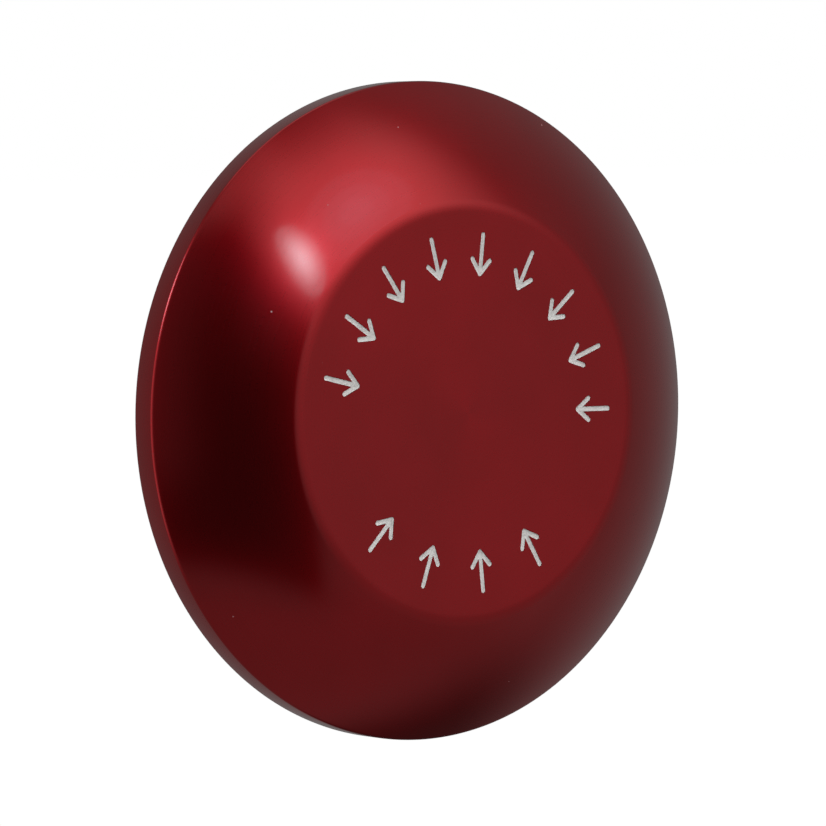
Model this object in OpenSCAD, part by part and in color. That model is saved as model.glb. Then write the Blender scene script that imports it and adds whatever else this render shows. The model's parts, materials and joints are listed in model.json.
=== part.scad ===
// Emergency stop button: 30.5 mm heavy-duty operator with a jumbo mushroom head and one
// contact module. Push to stop, pull to reset. Short body, one normally closed and one
// normally open double-break contact.
//
// Units are millimetres. Everything is drawn with the button's axis along Z and the front at
// +Z; z = 0 is the front of the panel. The whole part is turned at the end so that the front
// faces -Y and the top of the head is up.

/* [Head] */
// Diameter of the mushroom head
head_d = 63.5; // [60:0.5:66]
// Height of the straight band round the rim
rim_h = 2.8; // [2:0.1:4]
// Height of the curved shoulder between the rim and the flat face
shoulder_h = 6.9; // [6:0.1:8]
// Diameter of the flat face
face_d = 39.6; // [38:0.2:42]
// Angle through which the shoulder curves
shoulder_turn = 26; // [16:1:30]
// Wall thickness of the hollow head
head_wall = 2.8; // [2.2:0.1:3]

/* [Engraving] */
// Turn of the whole ring of marks, clockwise from upright
legend_turn = 7.4; // [-180:0.1:180]
// Number of marks over the top
top_marks = 9; // [1:1:9]
// Angle between neighbouring marks over the top
top_pitch = 20.9; // [18:0.1:24]
// Number of marks along the bottom
bottom_marks = 4; // [1:1:5]
// Angle between neighbouring marks along the bottom
bottom_pitch = 24.4; // [20:0.1:26]
// Radius of the inner end of a mark
mark_inner_r = 13.1; // [12:0.1:14]
// Radius of the outer end of a mark
mark_outer_r = 17.35; // [16.5:0.05:18]
// Width of an engraved line
stroke = 0.5; // [0.3:0.05:0.7]
// Depth of an engraved line
engrave_depth = 0.4; // [0.2:0.05:0.5]

/* [Travel and panel] */
// How far the head moves between reset and pressed
travel = 5; // [3:0.5:5]
// Gap between the panel and the head at rest
head_gap = 7; // [7:0.1:8]
// Thickness of the panel the nut is shown tightened on
panel_t = 2.5; // [1.5:0.1:3]

/* [Bushing] */
// Radius of the plain land that sits in the panel hole
land_r = 15; // [14.95:0.05:15.1]
// Radius of the crest of the mounting thread
thread_r = 14.8; // [14.65:0.05:14.8]
// Radius of the flange behind the head
flange_r = 19.5; // [18.5:0.5:22]
// Height of the mounting nut
nut_h = 4.5; // [3.5:0.1:5]
// Size of the mounting nut across its flats
nut_flats = 35.6; // [34:0.1:38]

/* [Shaft and springs] */
// Radius of the plunger shaft
shaft_r = 4; // [3.9:0.05:4]
// Wire thickness of the return spring
return_wire = 1.2; // [0.8:0.1:1.2]
// Mean radius of the return spring
return_r = 8.2; // [7.9:0.1:8.4]
// Wire thickness of the detent spring
detent_wire = 1; // [0.8:0.1:1]

/* [Contacts] */
// Distance of each contact bridge from the centre
bridge_x = 3.9; // [3.9:0.1:4]
// Width of a contact bridge
bridge_w = 2.6; // [2:0.1:2.6]
// Distance of each contact tip from the centre, along its bridge
tip_y = 5.3; // [5:0.1:5.4]
// Radius of a contact tip
tip_r = 1.25; // [0.8:0.05:1.3]

/* [Hidden] */
$fn = 72;

// Clearances
slip = 0.03;          // running fit, per side
loose = 0.1;          // drop-in fit, per side
touch = 0.02;         // gap left where two pieces rest on each other
snug = 0.05;          // gap round a piece that is fixed in a slot, per side
over = 1;             // how far a cutter runs past the surface it cuts
fuse = 0.5;           // how far two shapes of one piece run into each other
seam = 0.01;          // the same, where there is no room for more

// Smoothness, in facets round a full circle
head_facets = 180;
groove_facets = 48;
wire_facets = 32;

// Head
head_r = head_d / 2;
face_r = face_d / 2;
z_rim = head_gap;
z_shoulder = z_rim + rim_h;
z_face = z_shoulder + shoulder_h;
z_roof = z_face - head_wall;
recess_r = head_r - head_wall;
chord_x = head_r - face_r;
chord = norm([chord_x, shoulder_h]);
arc_r = chord / (2 * sin(shoulder_turn / 2));
arc_back = arc_r * cos(shoulder_turn / 2) / chord;
arc_x = (face_r + head_r) / 2 - shoulder_h * arc_back;
arc_z = (z_face + z_shoulder) / 2 - chord_x * arc_back;
inner_arc_r = arc_r - head_wall;
roof_r = arc_x + sqrt(pow(inner_arc_r, 2) - pow(z_roof - arc_z, 2));

// Engraving
barb_angle = 38;
barb_len = 1.7;
fill_drop = 0.06;     // how far the paint lies below the face

// Shaft and the boss it screws into
nose_r = 3;
nose_len = 6;
boss_r = 6.5;
lock_washer_r = 6;
washer_t = 1;
split_half = 0.3;
split_turn = 30;
step_inset = 0.4;     // how far the shaft's step lies in front of the head's back edge
nose_room = 0.3;      // left in the boss past the end of the nose
z_shaft_step = z_rim + step_inset;
z_boss = z_shaft_step + washer_t;
nose_hole_top = z_shaft_step + nose_len + nose_room;

// Bushing
gasket_t = 1;
flange_t = 2.5;
z_flange = gasket_t + flange_t;
neck_r = 12;
neck_h = 4;
z_neck = z_flange + neck_h;
counterbore_r = 9.6;
z_counterbore = 1.5;
seal_r = 7;
seal_wall = 1;
z_seal = -1;
bush_r = 6.5;
z_inner = -7;
rear_bore_r = 12.5;
z_barrel = -14;
nib_half = 2.15;
nib_y = [15.9, 16.9];
nib_depth = 1.5;
notch_half = 2.4;
notch_r = 17.2;
gasket_in_r = 15.2;

// Nut and washer behind the panel
lock_washer_t = 1;
z_washer = -panel_t - lock_washer_t;
z_nut = z_washer - nut_h;
washer_in_r = 15.3;
washer_out_r = 18.6;
nut_sides = 8;
washer_teeth = 20;
tooth_gap = 1.3;
tooth_depth = 1.4;

// Return spring, between the spring seat and the roof of the head
seat_t = 0.6;
z_seat = z_counterbore + seat_t;
seat_in_r = 4.2;
seat_out_r = 9.4;
closed_pitch = 1.06;  // rise of a closed turn, in wire thicknesses
return_turns = 4.5;
return_steps = 18;
return_sides = 8;

// Detent
cage_r = 12.4;
z_cage = -9.6;
cage_hole_r = 4.6;
z_detent = -8.3;
detent_groove_r = 0.8;
detent_bite = 0.8;
detent_x = shaft_r - detent_bite + detent_wire / 2;
detent_back_y = -5.5;
detent_front_y = 6.5;
pocket_half = 5.2;
pocket_y = [-10, 7];
z_pocket = -7.7;

// Contact carrier
carrier_x = 6;
carrier_y = 2.6;
z_carrier_front = z_cage - loose;
z_carrier_back = -16.4;
tail_r = 1.5;
z_tail = -16.9;
window_x = [2.45, 5.35];
z_window = [-15.6, -11.1];
clip_t = 0.5;
clip_r = 2.15;
clip_in_r = 1.15;
clip_mouth_half = 0.8;
z_clip = -16.2;
clip_recess_r = 2.3;
clip_recess_z = -15.6;

// Bridges. Each follows the head at five sixths of its travel; the rest is overtravel.
bridge_y = 6.7;
bar_t = 1;
tip_t = 0.6;
follow = 5 / 6;
contact_spring_r = 0.9;
contact_wire = 0.3;
nc_turns = 4.5;
no_turns = 5.5;
contact_steps = 12;
contact_sides = 6;
z_nc_bar = -13;
z_no_bar = -15.55;
z_nc_touch = z_nc_bar + bar_t + tip_t;
z_no_touch = z_no_bar - tip_t - travel * follow;

// Terminals
strip_t = 0.8;
strip_y = 4.2;
nc_leg_y = 8.8;
no_leg_y = 7.85;
plate_x = [1.4, 6];
plate_y = [8, 12.4];
pad_y = 9;
z_plate = -17.8;
z_nc_strip = z_nc_touch + tip_t;
z_no_strip = z_no_touch - touch - tip_t - strip_t;
term_x = 3.7;
term_y = 10.3;
clamp_t = 0.8;
clamp_half = 2.1;
z_clamp = -19.9;
term_head_r = 2.2;
term_head_t = 1.6;
m3_r = 1.5;
m3_hole_r = 1.6;
m3_shank_r = 1.46;
z_term_tip = -15.2;
z_term_hole = -14.8;
screw_slot = 0.8;
slot_reach = 0.75;    // how far a screw slot reaches, as a share of the head's radius
wire_half = 1.5;
pocket_x = [0.9, 6.3];

// Contact base and cover
chamber_x = 6.2;
chamber_y = 7;
base_r = 14.3;
z_base = -16;
cover_half = 7;
cover_y = 7.7;
cover_r = 14.6;
z_cover_terminals = -22;
z_cover = -23;
cover_wall = 0.8;
ear_x = 12.3;
ear_half = 2.7;
ear_t = 1;
module_x = 9.6;
module_head_r = 2.5;
module_head_t = 1.7;
z_module_tip = -2.4;
z_module_hole = -2;

// Turns the drawing so that its front faces -Y and its top is up.
module in_place() {
    rotate([90, 0, 0]) children();
}

// A disc about the axis from z0 to z1.
module disc(r, z0, z1) {
    translate([0, 0, z0]) cylinder(r = r, h = z1 - z0);
}

// A ring about the axis from z0 to z1.
module ring(r_out, r_in, z0, z1) {
    difference() {
        disc(r_out, z0, z1);
        disc(r_in, z0 - over, z1 + over);
    }
}

// A block between two opposite corners.
module block(low, high) {
    translate(low) cube(high - low);
}

// Height of a spring's wire after some turns: one nearly closed turn at each end, open between.
function wire_height(turn, turns, wire, rise) =
    let (closed = wire * closed_pitch, open = (rise - 2 * closed) / (turns - 2))
        min(turn, 1) * closed
        + max(0, min(turn, turns - 1) - 1) * open
        + max(0, turn - (turns - 1)) * closed;

// A compression spring from z0 to z1, as one tube of flat faces wound round the axis.
module spring(mean_r, wire, z0, z1, turns, steps, sides) {
    last = round(turns * steps);
    points = [for (i = [0 : last], k = [0 : sides - 1])
        let (around = 360 * i / steps,
             out = mean_r + wire / 2 * cos(360 * k / sides),
             up = wire / 2 * (1 + sin(360 * k / sides)))
            [out * cos(around), out * sin(around),
             z0 + wire_height(i / steps, turns, wire, z1 - z0 - wire) + up]];
    walls = [for (i = [0 : last - 1], k = [0 : sides - 1])
        let (next = (k + 1) % sides)
            [i * sides + k, i * sides + next, (i + 1) * sides + next, (i + 1) * sides + k]];
    start = [for (k = [sides - 1 : -1 : 0]) k];
    end = [for (k = [0 : sides - 1]) last * sides + k];
    polyhedron(points, concat(walls, [start, end]), convexity = 8);
}

// A screw whose head faces the rear: head from z_seat back, shank from z_seat forward.
module screw(head_r, head_t, z_seat, z_tip) {
    difference() {
        disc(head_r, z_seat - head_t, z_seat);
        for (turn = [0, 90]) rotate([0, 0, turn])
            block([-head_r * slot_reach, -screw_slot / 2, z_seat - head_t - over],
                  [head_r * slot_reach, screw_slot / 2, z_seat - head_t + screw_slot]);
    }
    disc(m3_shank_r, z_seat - fuse, z_tip);
}

// ---- The button: everything that moves with the head ----

// Half section of the head's outside.
module head_section() {
    translate([0, z_rim]) square([face_r, z_face - z_rim]);
    intersection() {
        translate([arc_x, arc_z]) circle(r = arc_r, $fn = head_facets);
        translate([face_r - seam, z_rim]) square([chord_x + seam, z_face - z_rim]);
    }
}

// Half section of the hollow in the back of the head.
module recess_section() {
    translate([0, z_rim - over]) square([roof_r, z_roof - z_rim + over]);
    intersection() {
        translate([arc_x, arc_z]) circle(r = inner_arc_r, $fn = head_facets);
        translate([roof_r - seam, z_rim - over])
            square([recess_r - roof_r + seam, z_roof - z_rim + over]);
    }
}

// A straight bar that runs half its width past the two points.
module bar(from, to, half, z0, z1) {
    along = to - from;
    translate(from)
        rotate([0, 0, atan2(along[1], along[0])])
            block([-half, -half, z0], [norm(along) + half, half, z1]);
}

// One mark: an arrow pointing at the centre of the face. trim narrows its lines.
module mark(trim, z0, z1) {
    half = stroke / 2 - trim;
    tip = [0, mark_inner_r + stroke / 2];
    bar(tip, [0, mark_outer_r - stroke / 2], half, z0, z1);
    for (side = [-1, 1])
        bar(tip, tip + barb_len * [side * sin(barb_angle), cos(barb_angle)], half, z0, z1);
}

// The two rows of marks round the face.
module marks(trim, z0, z1) {
    for (i = [0 : top_marks - 1])
        rotate([0, 0, -legend_turn - (i - (top_marks - 1) / 2) * top_pitch]) mark(trim, z0, z1);
    for (i = [0 : bottom_marks - 1])
        rotate([0, 0, 180 - legend_turn - (i - (bottom_marks - 1) / 2) * bottom_pitch])
            mark(trim, z0, z1);
}

// Turned aluminium mushroom head, hollow behind, with a boss for the shaft.
module mushroom_head() {
    in_place() color([0.55, 0.06, 0.08]) difference() {
        union() {
            difference() {
                rotate_extrude($fn = head_facets) head_section();
                rotate_extrude($fn = head_facets) recess_section();
            }
            disc(boss_r, z_boss, z_roof + fuse);
        }
        disc(nose_r, z_boss - over, nose_hole_top);
        marks(0, z_face - engrave_depth, z_face + over);
    }
}

// White paint in the engraved marks.
module legend_fill() {
    in_place() color([0.85, 0.84, 0.82]) marks(touch, z_face - engrave_depth, z_face - fill_drop);
}

// Split washer that keeps the head from working loose on the shaft.
module head_lock_washer() {
    in_place() color([0.7, 0.7, 0.72]) difference() {
        ring(lock_washer_r, nose_r + loose, z_shaft_step, z_boss);
        rotate([0, 0, split_turn])
            block([0, -split_half, z_shaft_step - over], [boss_r, split_half, z_boss + over]);
    }
}

// Half section of the plunger shaft: nose, main shaft with two detent grooves, tail.
module shaft_section() {
    difference() {
        union() {
            translate([0, z_shaft_step - fuse]) square([nose_r - slip, nose_len + fuse]);
            translate([0, z_carrier_front])
                square([shaft_r, z_shaft_step - z_carrier_front]);
            translate([0, z_tail]) square([tail_r, z_carrier_front - z_tail + fuse]);
        }
        for (z = [z_detent, z_detent + travel])
            translate([shaft_r - snug, z]) circle(r = detent_groove_r, $fn = groove_facets);
        translate([clip_in_r - snug, z_clip - touch])
            square([tail_r, clip_t + 2 * touch]);
    }
}

// Steel shaft that carries the head at the front and the contact carrier at the rear.
module plunger_shaft() {
    in_place() color([0.72, 0.72, 0.74]) rotate_extrude() shaft_section();
}

// Moulded carrier that moves both contact bridges.
module contact_carrier() {
    in_place() color([0.75, 0.2, 0.12]) difference() {
        block([-carrier_x, -carrier_y, z_carrier_back], [carrier_x, carrier_y, z_carrier_front]);
        disc(tail_r + snug, z_carrier_back - over, z_carrier_front + over);
        disc(clip_recess_r, z_carrier_back - over, clip_recess_z);
        for (side = [0, 1]) mirror([side, 0, 0])
            block([window_x[0], -carrier_y - over, z_window[0]],
                  [window_x[1], carrier_y + over, z_window[1]]);
    }
}

// Clip that holds the carrier on the tail of the shaft.
module carrier_clip() {
    in_place() color([0.6, 0.6, 0.62]) difference() {
        ring(clip_r, clip_in_r, z_clip, z_clip + clip_t);
        block([-clip_mouth_half, -clip_r - over, z_clip - over],
              [clip_mouth_half, 0, z_clip + clip_t + over]);
    }
}

// ---- Springs ----

// Pushes the head out when it is pulled clear of the detent.
module return_spring() {
    in_place() color([0.75, 0.75, 0.77])
        spring(return_r, return_wire, z_seat + touch, z_roof - touch,
               return_turns, return_steps, return_sides);
}

// Hairpin of spring wire whose two legs snap into the grooves of the shaft.
module detent_spring() {
    in_place() color([0.78, 0.78, 0.8]) {
        for (side = [-1, 1])
            translate([side * detent_x, detent_back_y, z_detent])
                rotate([-90, 0, 0])
                    cylinder(r = detent_wire / 2, h = detent_front_y - detent_back_y,
                             $fn = wire_facets);
        translate([0, detent_back_y, z_detent])
            rotate([0, 0, 180])
                rotate_extrude(angle = 180)
                    translate([detent_x, 0]) circle(r = detent_wire / 2, $fn = wire_facets);
    }
}

// Presses the normally closed bridge forward onto its fixed tips.
module nc_spring() {
    in_place() color([0.8, 0.8, 0.82])
        translate([bridge_x, 0, 0])
            spring(contact_spring_r, contact_wire, z_window[0] + touch, z_nc_bar - touch,
                   nc_turns, contact_steps, contact_sides);
}

// Presses the normally open bridge rearward onto its fixed tips once the head is in.
module no_spring() {
    in_place() color([0.8, 0.8, 0.82])
        translate([-bridge_x, 0, 0])
            spring(contact_spring_r, contact_wire, z_no_bar + bar_t + touch, z_window[1] - touch,
                   no_turns, contact_steps, contact_sides);
}

// ---- Moving contacts ----

// A straight bar across the carrier.
module bridge_bar(x, z) {
    block([x - bridge_w / 2, -bridge_y, z], [x + bridge_w / 2, bridge_y, z + bar_t]);
}

// A button-shaped silver tip.
module tip(x, y, z0, z1) {
    translate([x, y, 0]) disc(tip_r, z0, z1);
}

module nc_bridge() {
    in_place() color([0.8, 0.6, 0.3]) bridge_bar(bridge_x, z_nc_bar);
}

module no_bridge() {
    in_place() color([0.8, 0.6, 0.3]) bridge_bar(-bridge_x, z_no_bar);
}

module nc_bridge_tip(side) {
    in_place() color([0.85, 0.85, 0.86])
        tip(bridge_x, side * tip_y, z_nc_bar + bar_t, z_nc_touch - touch);
}

module no_bridge_tip(side) {
    in_place() color([0.85, 0.85, 0.86]) tip(-bridge_x, side * tip_y, z_no_bar - tip_t, z_no_bar);
}

// ---- The fixed body ----

// Plated zinc bushing. Its mounting thread is drawn as a plain barrel at crest radius.
module bushing_body() {
    in_place() color([0.78, 0.78, 0.8]) difference() {
        union() {
            disc(thread_r, z_barrel, gasket_t + fuse);
            disc(land_r, -panel_t, 0);
            disc(flange_r, gasket_t, z_flange);
            disc(neck_r, z_flange - fuse, z_neck);
            block([-nib_half, nib_y[0], -nib_depth], [nib_half, nib_y[1], gasket_t + fuse]);
        }
        disc(counterbore_r, z_counterbore, z_neck + over);
        disc(seal_r, z_seal, z_counterbore + over);
        disc(bush_r, z_inner - over, z_seal + over);
        disc(rear_bore_r, z_barrel - over, z_inner);
        for (side = [-1, 1])
            translate([side * module_x, 0, 0])
                disc(m3_r + touch, z_inner - over, z_module_hole);
    }
}

// Rubber gasket between the flange and the panel, notched for the locating nib.
module flange_gasket() {
    in_place() color([0.1, 0.1, 0.1]) difference() {
        ring(flange_r, gasket_in_r, 0, gasket_t);
        block([-notch_half, 0, -over], [notch_half, notch_r, gasket_t + over]);
    }
}

// Rubber cup seal that wipes the shaft.
module shaft_seal() {
    in_place() color([0.12, 0.12, 0.12]) difference() {
        ring(seal_r - touch, shaft_r + slip, z_seal, z_counterbore);
        ring(seal_r - seal_wall, shaft_r + seal_wall, z_seal + seal_wall, z_counterbore + over);
    }
}

// Plain bronze bearing for the shaft.
module shaft_bush() {
    in_place() color([0.7, 0.5, 0.3]) ring(bush_r - touch, shaft_r + slip, z_inner, z_seal);
}

// Washer under the return spring; it also keeps the seal in.
module spring_seat_washer() {
    in_place() color([0.7, 0.7, 0.72]) ring(seat_out_r, seat_in_r, z_counterbore, z_seat);
}

// Moulded disc that holds the detent spring and stops the carrier at rest.
module detent_cage() {
    in_place() color([0.15, 0.15, 0.16]) difference() {
        disc(cage_r, z_cage, z_inner);
        disc(cage_hole_r, z_cage - over, z_inner + over);
        block([-pocket_half, pocket_y[0], z_cage - over], [pocket_half, pocket_y[1], z_pocket]);
        for (side = [-1, 1])
            translate([side * module_x, 0, 0])
                disc(m3_hole_r, z_cage - over, z_inner + over);
    }
}

// Slots in the base for one leg of each normally closed terminal strip.
module strip_slot(side) {
    low_x = bridge_x - bridge_w / 2 - snug;
    high_x = bridge_x + bridge_w / 2 + snug;
    mirror([0, side < 0 ? 1 : 0, 0]) {
        block([low_x, strip_y, z_nc_strip - snug], [high_x, nc_leg_y + snug, z_cage + over]);
        block([low_x, nc_leg_y - strip_t - snug, z_base - over],
              [high_x, nc_leg_y + snug, z_cage + over]);
    }
}

// Moulded base of the contact module, with a pad under each terminal plate.
module contact_base() {
    in_place() color([0.2, 0.2, 0.21]) difference() {
        union() {
            disc(cage_r, z_barrel - fuse, z_cage);
            disc(base_r, z_base, z_barrel);
            for (sx = [0, 1]) mirror([sx, 0, 0])
                for (sy = [0, 1]) mirror([0, sy, 0])
                    block([plate_x[0], pad_y, z_plate + strip_t],
                          [plate_x[1], plate_y[1], z_base + fuse]);
        }
        block([-chamber_x, -chamber_y, z_base - over], [chamber_x, chamber_y, z_cage + over]);
        for (side = [-1, 1]) {
            strip_slot(side);
            translate([side * module_x, 0, 0]) disc(m3_hole_r, z_base - over, z_cage + over);
            for (sx = [-1, 1])
                translate([sx * term_x, side * term_y, 0])
                    disc(m3_hole_r, z_plate, z_term_hole);
        }
    }
}

// One pocket of the cover, open to the rear, with a window for the wire.
module terminal_pocket() {
    intersection() {
        block([pocket_x[0], cover_y, z_cover - over], [pocket_x[1], cover_r, z_base + over]);
        disc(cover_r - cover_wall, z_cover - over, z_base + over);
    }
    block([term_x - wire_half, term_y, z_clamp + clamp_t],
          [term_x + wire_half, cover_r + over, z_plate]);
}

// Smoked clear cover over the contacts and round the terminals.
module contact_cover() {
    in_place() color([0.35, 0.33, 0.3]) difference() {
        union() {
            intersection() {
                block([-cover_half, -cover_r, z_cover_terminals], [cover_half, cover_r, z_base]);
                disc(cover_r, z_cover_terminals, z_base);
            }
            block([-cover_half, -cover_y, z_cover], [cover_half, cover_y, z_base]);
            block([-ear_x, -ear_half, z_base - ear_t], [ear_x, ear_half, z_base]);
        }
        block([-chamber_x, -chamber_y, z_cover + cover_wall], [chamber_x, chamber_y, 0]);
        for (sx = [0, 1]) mirror([sx, 0, 0])
            for (sy = [0, 1]) mirror([0, sy, 0])
                terminal_pocket();
        for (side = [-1, 1]) {
            translate([side * module_x, 0, 0]) disc(m3_hole_r, z_cover, 0);
            mirror([0, side < 0 ? 1 : 0, 0])
                block([-bridge_x - bridge_w / 2 - snug, 0, z_no_strip - snug],
                      [-bridge_x + bridge_w / 2 + snug, no_leg_y + snug, z_base + over]);
        }
    }
}

// A terminal strip: a bar under the fixed tip, a leg along the body, and the screw plate.
module terminal_strip(x, side, z_bar, leg_y) {
    low_x = bridge_x - bridge_w / 2;
    high_x = bridge_x + bridge_w / 2;
    mirror([x < 0 ? 1 : 0, 0, 0]) mirror([0, side < 0 ? 1 : 0, 0]) difference() {
        union() {
            block([low_x, strip_y, z_bar], [high_x, leg_y, z_bar + strip_t]);
            block([low_x, leg_y - strip_t, min(z_bar, z_plate)],
                  [high_x, leg_y, max(z_bar, z_plate) + strip_t]);
            block([low_x, leg_y - strip_t, z_plate], [high_x, plate_y[1], z_plate + strip_t]);
            block([plate_x[0], plate_y[0], z_plate], [plate_x[1], plate_y[1], z_plate + strip_t]);
        }
        translate([term_x, term_y, 0]) disc(m3_r, z_plate - over, z_plate + strip_t + over);
    }
}

module nc_terminal(side) {
    in_place() color([0.8, 0.62, 0.32]) terminal_strip(bridge_x, side, z_nc_strip, nc_leg_y);
}

module no_terminal(side) {
    in_place() color([0.8, 0.62, 0.32]) terminal_strip(-bridge_x, side, z_no_strip, no_leg_y);
}

module nc_fixed_tip(side) {
    in_place() color([0.85, 0.85, 0.86])
        tip(bridge_x, side * tip_y, z_nc_touch, z_nc_strip);
}

module no_fixed_tip(side) {
    in_place() color([0.85, 0.85, 0.86])
        tip(-bridge_x, side * tip_y, z_no_strip + strip_t, z_no_touch - touch);
}

// Places its children at each of the four terminals.
module at_terminals() {
    for (x = [-term_x, term_x])
        for (y = [-term_y, term_y])
            translate([x, y, 0]) children();
}

module terminal_screws() {
    in_place() color([0.75, 0.75, 0.77])
        at_terminals() screw(term_head_r, term_head_t, z_clamp, z_term_tip);
}

// Square clamps that press the wires onto the terminal plates.
module wire_clamps() {
    in_place() color([0.7, 0.7, 0.72]) at_terminals() difference() {
        block([-clamp_half, -clamp_half, z_clamp], [clamp_half, clamp_half, z_clamp + clamp_t]);
        disc(m3_hole_r, z_clamp - over, z_clamp + clamp_t + over);
    }
}

// Long screws that clamp cover, base and detent cage to the bushing.
module module_screws() {
    in_place() color([0.72, 0.72, 0.74])
        for (x = [-module_x, module_x])
            translate([x, 0, 0])
                screw(module_head_r, module_head_t, z_base - ear_t, z_module_tip);
}

// Toothed washer behind the panel.
module lock_washer() {
    in_place() color([0.68, 0.68, 0.7]) difference() {
        ring(washer_out_r, washer_in_r, z_washer, -panel_t);
        for (i = [0 : washer_teeth - 1]) rotate([0, 0, i * 360 / washer_teeth])
            block([washer_out_r - tooth_depth, -tooth_gap / 2, z_washer - over],
                  [washer_out_r + over, tooth_gap / 2, -panel_t + over]);
    }
}

// Octagonal nut behind the panel. Its thread is drawn as a plain bore at crest radius.
module mounting_nut() {
    in_place() color([0.75, 0.75, 0.77]) difference() {
        translate([0, 0, z_nut])
            rotate([0, 0, 180 / nut_sides])
                cylinder(r = nut_flats / 2 / cos(180 / nut_sides), h = nut_h, $fn = nut_sides);
        disc(thread_r + snug, z_nut - over, z_washer + over);
    }
}

mushroom_head();
legend_fill();
head_lock_washer();
plunger_shaft();
return_spring();
spring_seat_washer();
bushing_body();
flange_gasket();
shaft_seal();
shaft_bush();
detent_cage();
detent_spring();
lock_washer();
mounting_nut();
contact_carrier();
carrier_clip();
nc_bridge();
nc_bridge_tip(1);  // nc_bridge_tip_1
nc_bridge_tip(-1);  // nc_bridge_tip_2
no_bridge();
no_bridge_tip(1);  // no_bridge_tip_1
no_bridge_tip(-1);  // no_bridge_tip_2
nc_spring();
no_spring();
contact_base();
contact_cover();
nc_terminal(1);  // nc_terminal_1
nc_terminal(-1);  // nc_terminal_2
no_terminal(1);  // no_terminal_1
no_terminal(-1);  // no_terminal_2
nc_fixed_tip(1);  // nc_fixed_tip_1
nc_fixed_tip(-1);  // nc_fixed_tip_2
no_fixed_tip(1);  // no_fixed_tip_1
no_fixed_tip(-1);  // no_fixed_tip_2
terminal_screws();
wire_clamps();
module_screws();
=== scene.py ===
"""Looks for a panel-mounted emergency stop button with a jumbo mushroom head.

Pieces are drawn in millimetres with the button's axis along z, the front at +z and the top at +y,
then turned into the frame, which is in metres with the front facing -y and the top at +z.
"""

import json
import math

import bmesh
import bpy
from mathutils import Matrix, Vector

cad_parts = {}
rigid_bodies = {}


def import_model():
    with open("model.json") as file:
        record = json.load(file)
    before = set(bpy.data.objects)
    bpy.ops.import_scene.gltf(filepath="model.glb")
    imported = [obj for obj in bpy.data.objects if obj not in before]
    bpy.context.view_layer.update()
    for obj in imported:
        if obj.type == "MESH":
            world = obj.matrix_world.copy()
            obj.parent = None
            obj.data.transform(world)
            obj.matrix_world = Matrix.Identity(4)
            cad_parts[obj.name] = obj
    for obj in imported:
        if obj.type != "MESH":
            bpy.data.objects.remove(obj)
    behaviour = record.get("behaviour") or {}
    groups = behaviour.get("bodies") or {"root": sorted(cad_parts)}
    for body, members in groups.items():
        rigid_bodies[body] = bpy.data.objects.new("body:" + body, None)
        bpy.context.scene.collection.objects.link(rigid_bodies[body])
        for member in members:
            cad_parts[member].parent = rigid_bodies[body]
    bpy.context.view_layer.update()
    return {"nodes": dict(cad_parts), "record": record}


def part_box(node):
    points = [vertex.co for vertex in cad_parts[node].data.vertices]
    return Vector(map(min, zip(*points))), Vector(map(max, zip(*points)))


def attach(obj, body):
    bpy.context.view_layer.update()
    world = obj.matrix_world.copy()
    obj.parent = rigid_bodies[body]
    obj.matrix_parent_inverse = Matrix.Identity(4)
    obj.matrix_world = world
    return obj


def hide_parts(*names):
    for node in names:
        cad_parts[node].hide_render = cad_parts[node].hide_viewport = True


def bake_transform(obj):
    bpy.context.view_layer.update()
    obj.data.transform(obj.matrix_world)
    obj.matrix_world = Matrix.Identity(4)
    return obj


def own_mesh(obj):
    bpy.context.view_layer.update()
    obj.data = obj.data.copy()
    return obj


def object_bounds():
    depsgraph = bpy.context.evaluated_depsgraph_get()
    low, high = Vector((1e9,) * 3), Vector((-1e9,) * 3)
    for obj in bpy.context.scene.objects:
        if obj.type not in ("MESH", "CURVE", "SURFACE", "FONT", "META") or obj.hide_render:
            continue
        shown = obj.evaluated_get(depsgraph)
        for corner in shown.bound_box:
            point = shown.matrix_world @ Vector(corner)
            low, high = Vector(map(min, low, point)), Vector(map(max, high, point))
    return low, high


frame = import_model()

MM = 0.001
DRAWING_TO_FRAME = Matrix(((MM, 0, 0, 0), (0, 0, -MM, 0), (0, MM, 0, 0), (0, 0, 0, 1)))


# ---- Sizes, in millimetres and degrees ----

# Points closer than this are taken to be level with each other
LEVEL = 0.01

# Mushroom head
HEAD_WALL = 2.8
SHOULDER_TURN = 26
FACE_BLEND = 0.65
RIM_BREAK = 0.16
LIP_ROUND = 0.3
BOSS_R = 6.5
BOSS_ROUND = 1
NOSE_R = 3
NOSE_HOLE = 5.3
HEAD_STEPS = 288
ARC_STEPS = 60

# Engraved marks
LEGEND_TURN = 7.4
TOP_MARKS = 9
TOP_PITCH = 20.9
BOTTOM_MARKS = 4
BOTTOM_PITCH = 24.4
MARK_INNER_R = 13.1
MARK_OUTER_R = 17.35
STROKE = 0.5
ENGRAVE_DEPTH = 0.4
BARB_ANGLE = 38
BARB_LEN = 1.7
LINE_END_STEPS = 8
PAINT_GAP = 0.02
PAINT_SAG = 0.06

# Springs. CLOSED_PITCH is the rise of a closed turn, in wire thicknesses.
RETURN_WIRE = 1.2
RETURN_TURNS = 4.5
CONTACT_WIRE = 0.3
NC_TURNS = 4.5
NO_TURNS = 5.5
DETENT_WIRE = 1
LEG_STEPS = 12
BEND_STEPS = 40
CLOSED_PITCH = 1.06

# Threads. THREAD_ROWS is the number of rings of points in one turn.
THREAD_PITCH = 1.5
THREAD_DEPTH = 0.62
THREAD_FADE = 0.8
THREAD_GAP = 0.05
THREAD_ROWS = 14
TURNED_STEPS = 144

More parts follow.
